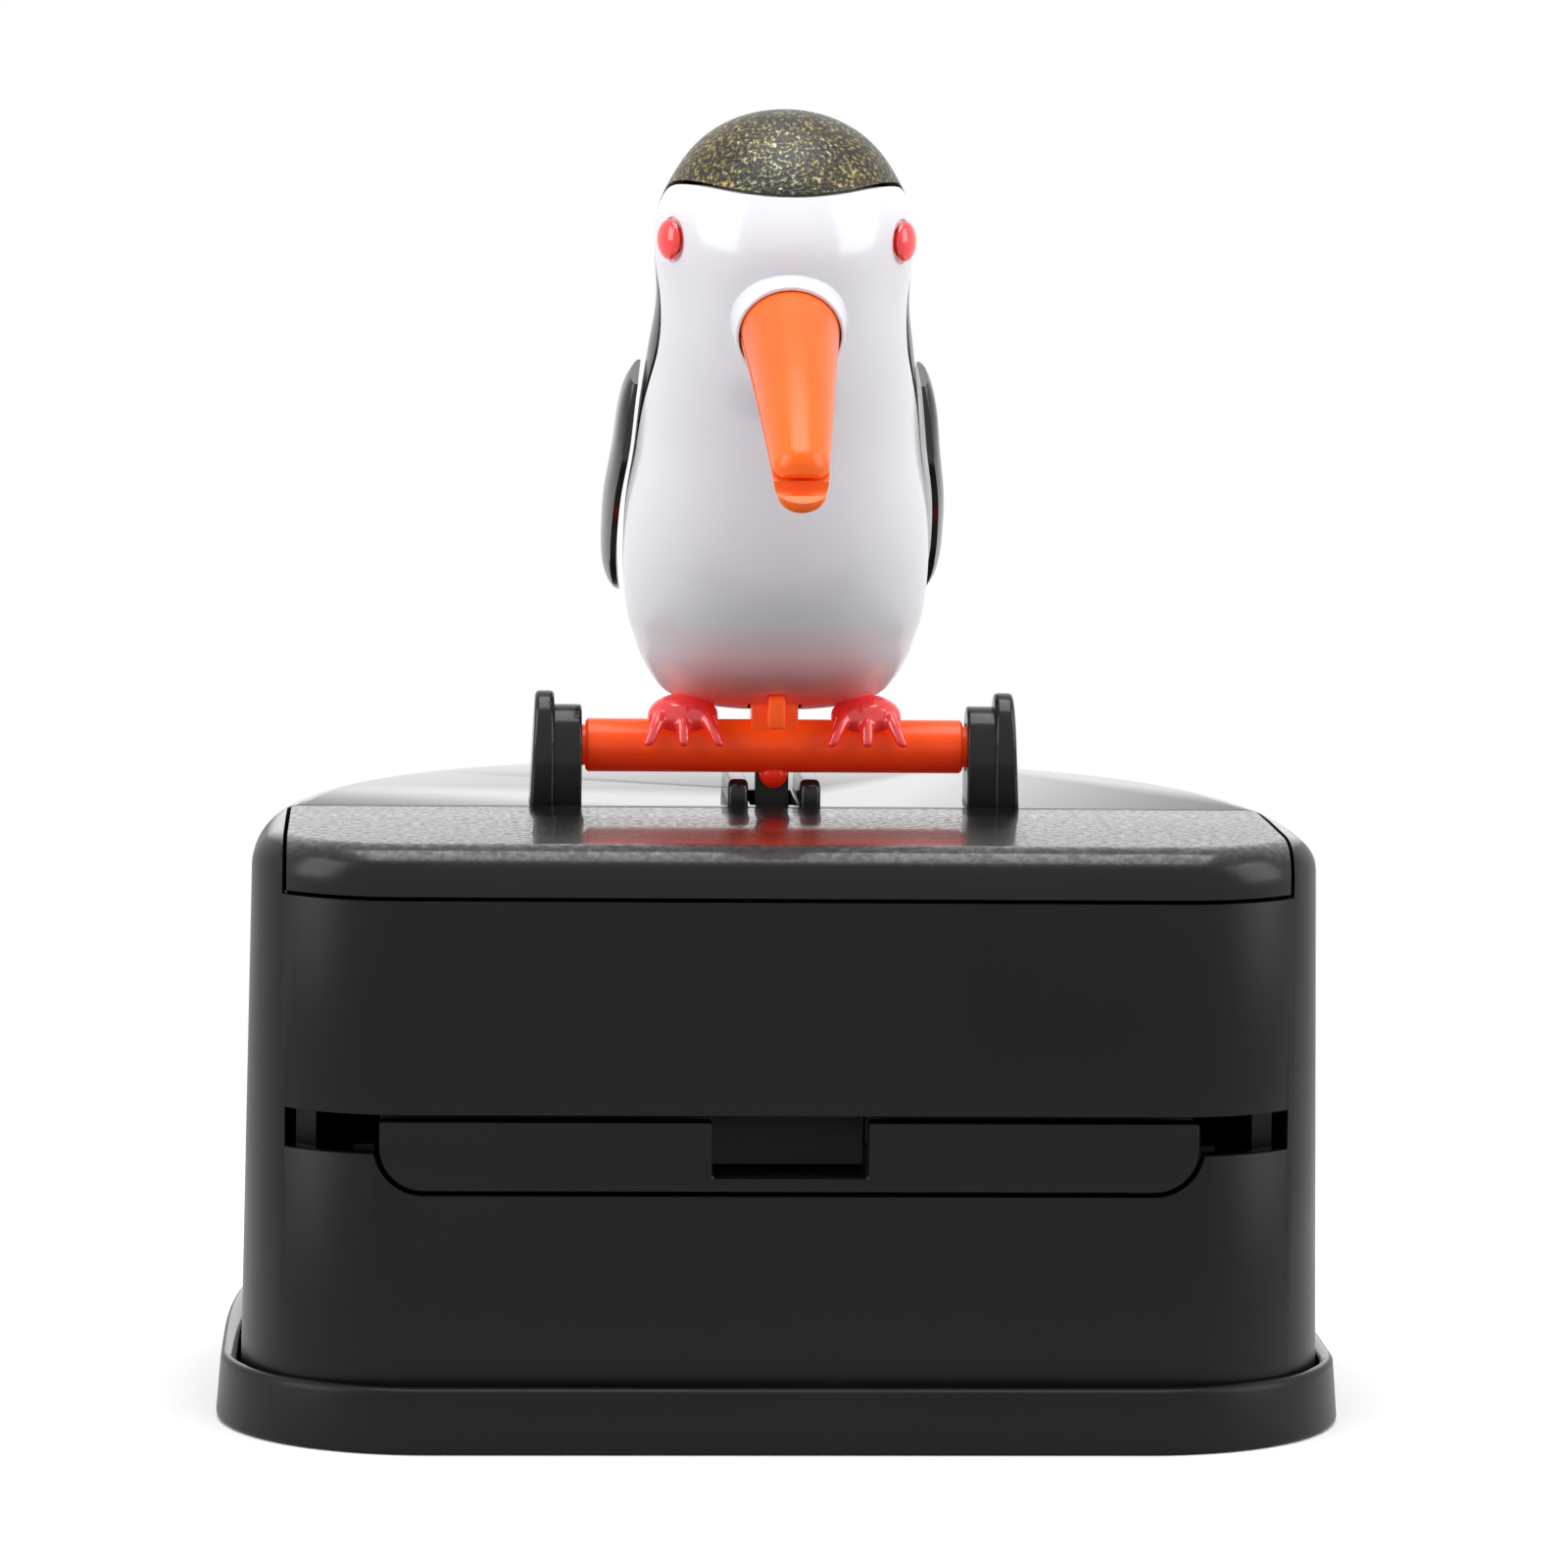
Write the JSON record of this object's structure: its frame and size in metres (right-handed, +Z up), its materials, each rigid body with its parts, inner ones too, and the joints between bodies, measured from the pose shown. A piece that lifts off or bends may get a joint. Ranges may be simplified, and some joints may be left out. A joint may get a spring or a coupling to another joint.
{
  "type": "toothpick dispenser",
  "caption": "Slotted box on a rimmed base with a bird on a cross bar that bows its long beak down to a sliding drawer and lifts a toothpick out.",
  "frame": {"origin": "centre of the base's underside", "axes": "+Z up through the bird's head; the beak and the slot look along -Y; +X to the right when the front is looked at"},
  "size_m": [0.0804, 0.0698, 0.0932],
  "materials": {
    "black_plastic": "black moulded plastic, polished top and satin sides",
    "textured_plastic": "black with a fine spark-eroded grain",
    "inner_plastic": "dark grey, plain moulded",
    "steel": "plain bright steel wire and screws",
    "bar_orange": "glossy orange-red",
    "white_plastic": "glossy white",
    "back_plastic": "glossy black",
    "red_plastic": "clear glossy red",
    "beak_orange": "glossy orange"
  },
  "bodies": {
    "box": {"base": "black_plastic", "housing": "black_plastic", "feed_bed": "inner_plastic", "hopper": "inner_plastic", "rocker_pin": "steel", "return_spring_left": "steel", "return_spring_right": "steel", "base_screw_1": "steel", "base_screw_2": "steel", "base_screw_3": "steel", "base_screw_4": "steel"},
    "lid": {"lid": "textured_plastic"},
    "drawer": {"drawer": "black_plastic"},
    "rocker": {"rocker": "inner_plastic"},
    "bird": {"perch_bar": "bar_orange", "bird_front_shell": "white_plastic", "bird_back_shell": "back_plastic", "wing_left": "back_plastic", "wing_right": "back_plastic", "eye_left": "red_plastic", "eye_right": "red_plastic", "beak_upper": "beak_orange", "beak_lower": "beak_orange", "foot_left": "red_plastic", "foot_right": "red_plastic"}
  },
  "joints": [
    {"name": "bird_tilt", "type": "hinge", "parent": "box", "child": "bird", "pos_m": [0, -0.0022, 0.0466], "axis": [1, 0, 0], "range_deg": [0, 70.5], "stiffness_Nm_per_rad": 0.004, "springref_deg": -20.05},
    {"name": "rocker_swing", "type": "hinge", "parent": "box", "child": "rocker", "pos_m": [0, 0.0003, 0.0393], "axis": [-1, 0, 0], "range_deg": [0, 16.6]},
    {"name": "drawer_slide", "type": "slide", "parent": "box", "child": "drawer", "axis": [0, -1, 0], "range_m": [0, 0.0055], "deforming": ["return_spring_left", "return_spring_right"]},
    {"name": "lid_slide", "type": "slide", "parent": "box", "child": "lid", "axis": [0, -1, 0], "range_m": [0, 0.0016]}
  ],
  "couplings": [
    {"joint": "rocker_swing", "follows": "bird_tilt", "ratio": 0.23404},
    {"joint": "drawer_slide", "follows": "bird_tilt", "m_per_rad": 0.0044292}
  ]
}
